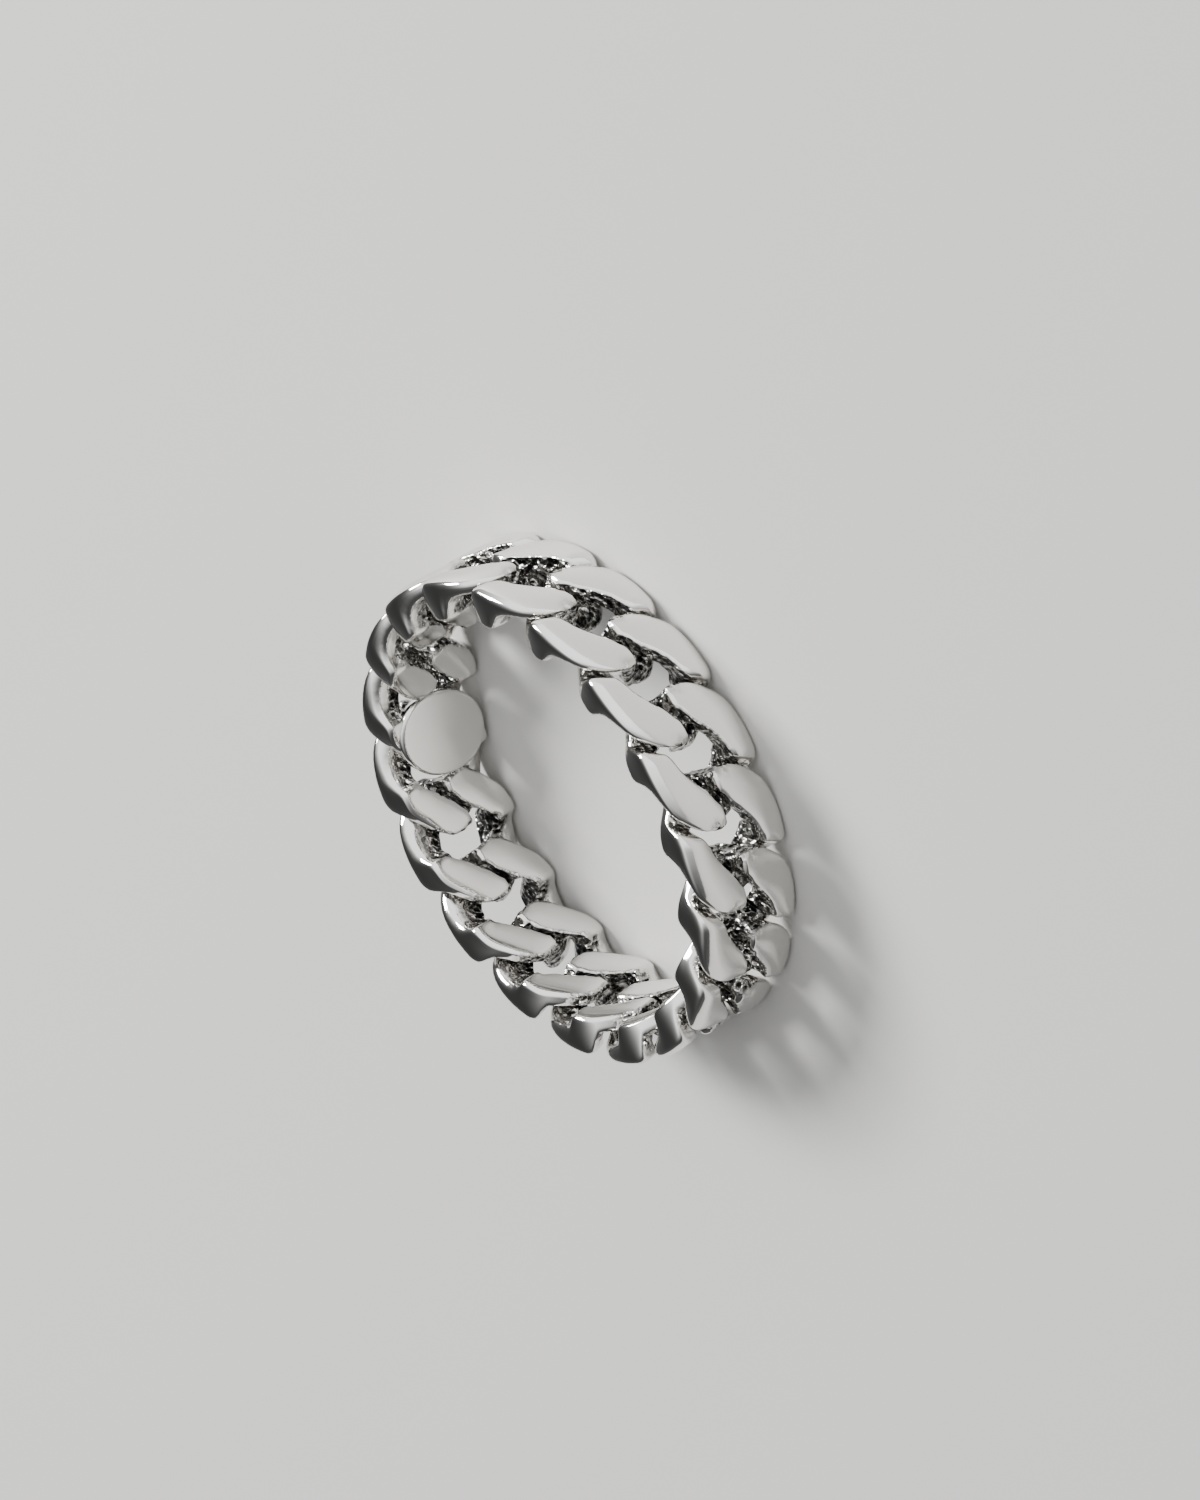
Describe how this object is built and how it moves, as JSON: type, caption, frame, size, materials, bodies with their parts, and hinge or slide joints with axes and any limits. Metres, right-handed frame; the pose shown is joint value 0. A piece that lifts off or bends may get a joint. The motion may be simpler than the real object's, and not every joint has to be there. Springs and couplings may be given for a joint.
{
  "type": "chain link ring",
  "caption": "Rigid finger ring made as a closed band of interlocking curb chain links, ground flat outside, inside and at both rims, with a small oval plate inside.",
  "frame": {"origin": "on the ring's axis, in the plane of the rim that it rests on, which is the middle of the bounding box's base", "axes": "+Z along the finger hole, away from the resting rim; +X towards the middle of link_01"},
  "size_m": [0.024, 0.024, 0.0055],
  "materials": {
    "silver": "polished facets, rough as-cast recesses"
  },
  "bodies": {
    "root": {"link_01": "silver", "link_02": "silver", "link_03": "silver", "link_04": "silver", "link_05": "silver", "link_06": "silver", "link_07": "silver", "link_08": "silver", "link_09": "silver", "link_10": "silver", "link_11": "silver", "link_12": "silver", "link_13": "silver", "link_14": "silver", "link_15": "silver", "link_16": "silver", "link_17": "silver", "link_18": "silver"}
  },
  "joints": []
}
